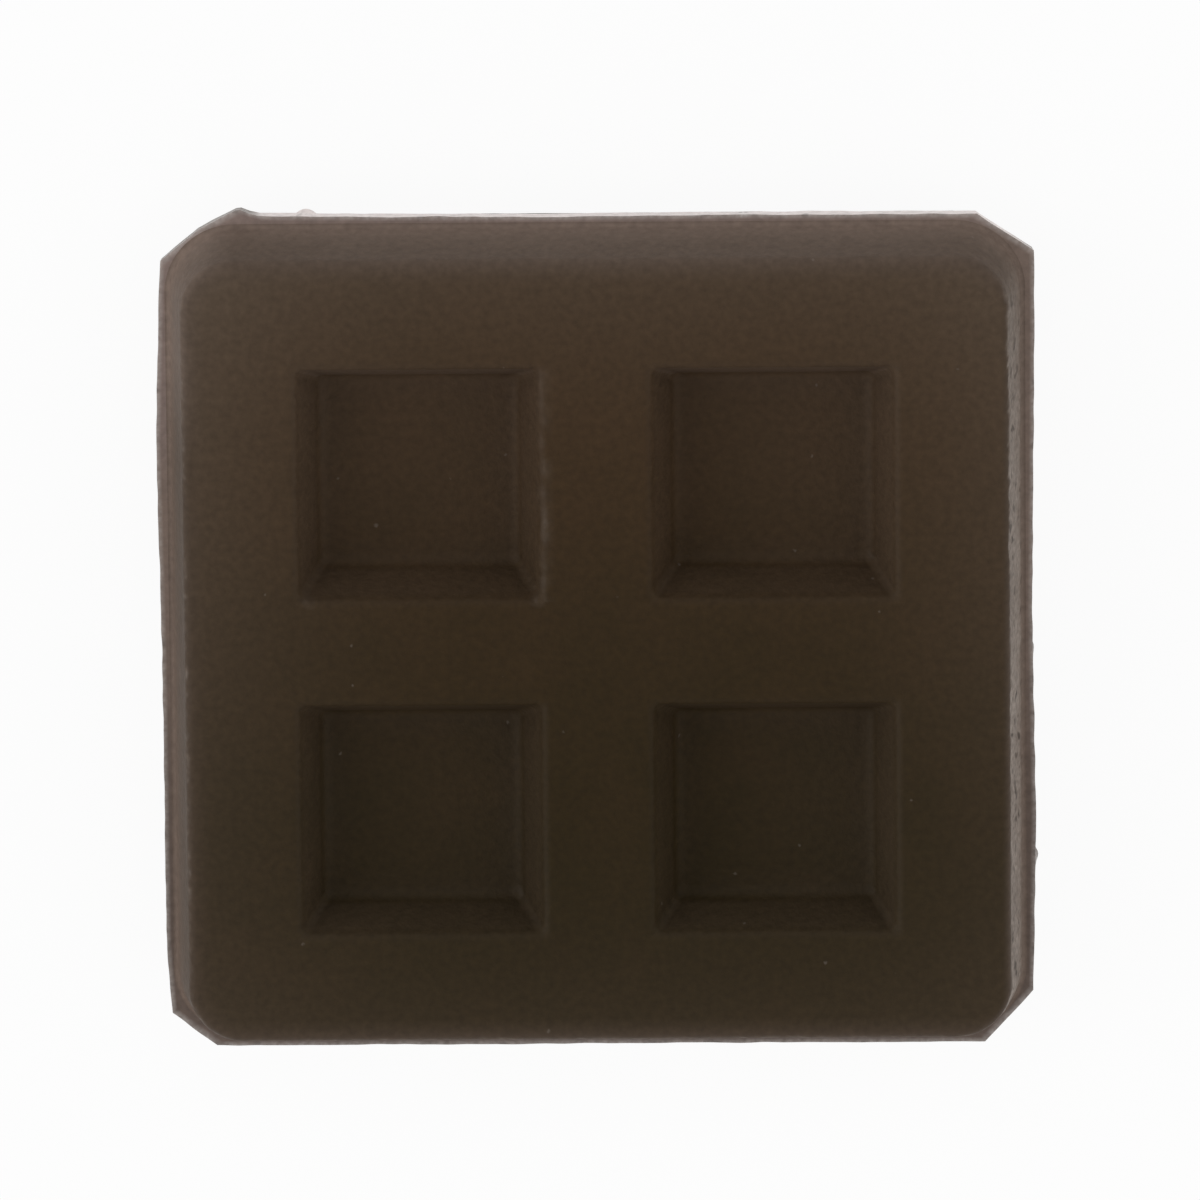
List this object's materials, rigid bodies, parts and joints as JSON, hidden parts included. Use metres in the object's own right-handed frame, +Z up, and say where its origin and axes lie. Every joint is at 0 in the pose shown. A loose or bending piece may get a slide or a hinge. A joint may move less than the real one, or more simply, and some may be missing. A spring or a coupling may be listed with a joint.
{
  "type": "anti-vibration pad",
  "caption": "Square rubber waffle pad with tapered pockets in both working faces and a thin trimmed web between its blocks, set under an appliance to damp vibration.",
  "frame": {"origin": "centre of the underside, on the face that the pad rests on", "axes": "+Z up through the thickness, +X and +Y along the sides, +Y towards the edge between the widest snipped corner and the flattest one"},
  "size_m": [0.052, 0.052, 0.0095],
  "materials": {
    "moulded_rubber": "matte moulded",
    "web_rubber": "matte, knife-cut edges"
  },
  "bodies": {
    "root": {"lower_waffle_block": "moulded_rubber"},
    "web": {"centre_web": "web_rubber"},
    "upper": {"upper_waffle_block": "moulded_rubber"}
  },
  "joints": [
    {"name": "lower_compression", "type": "slide", "parent": "root", "child": "web", "axis": [0, 0, 1], "range_m": [-0.0006, 0], "stiffness_N_per_m": 1000000, "deforming": ["lower_waffle_block"]},
    {"name": "upper_compression", "type": "slide", "parent": "web", "child": "upper", "axis": [0, 0, 1], "range_m": [-0.0006, 0], "stiffness_N_per_m": 1000000, "deforming": ["upper_waffle_block"]}
  ]
}
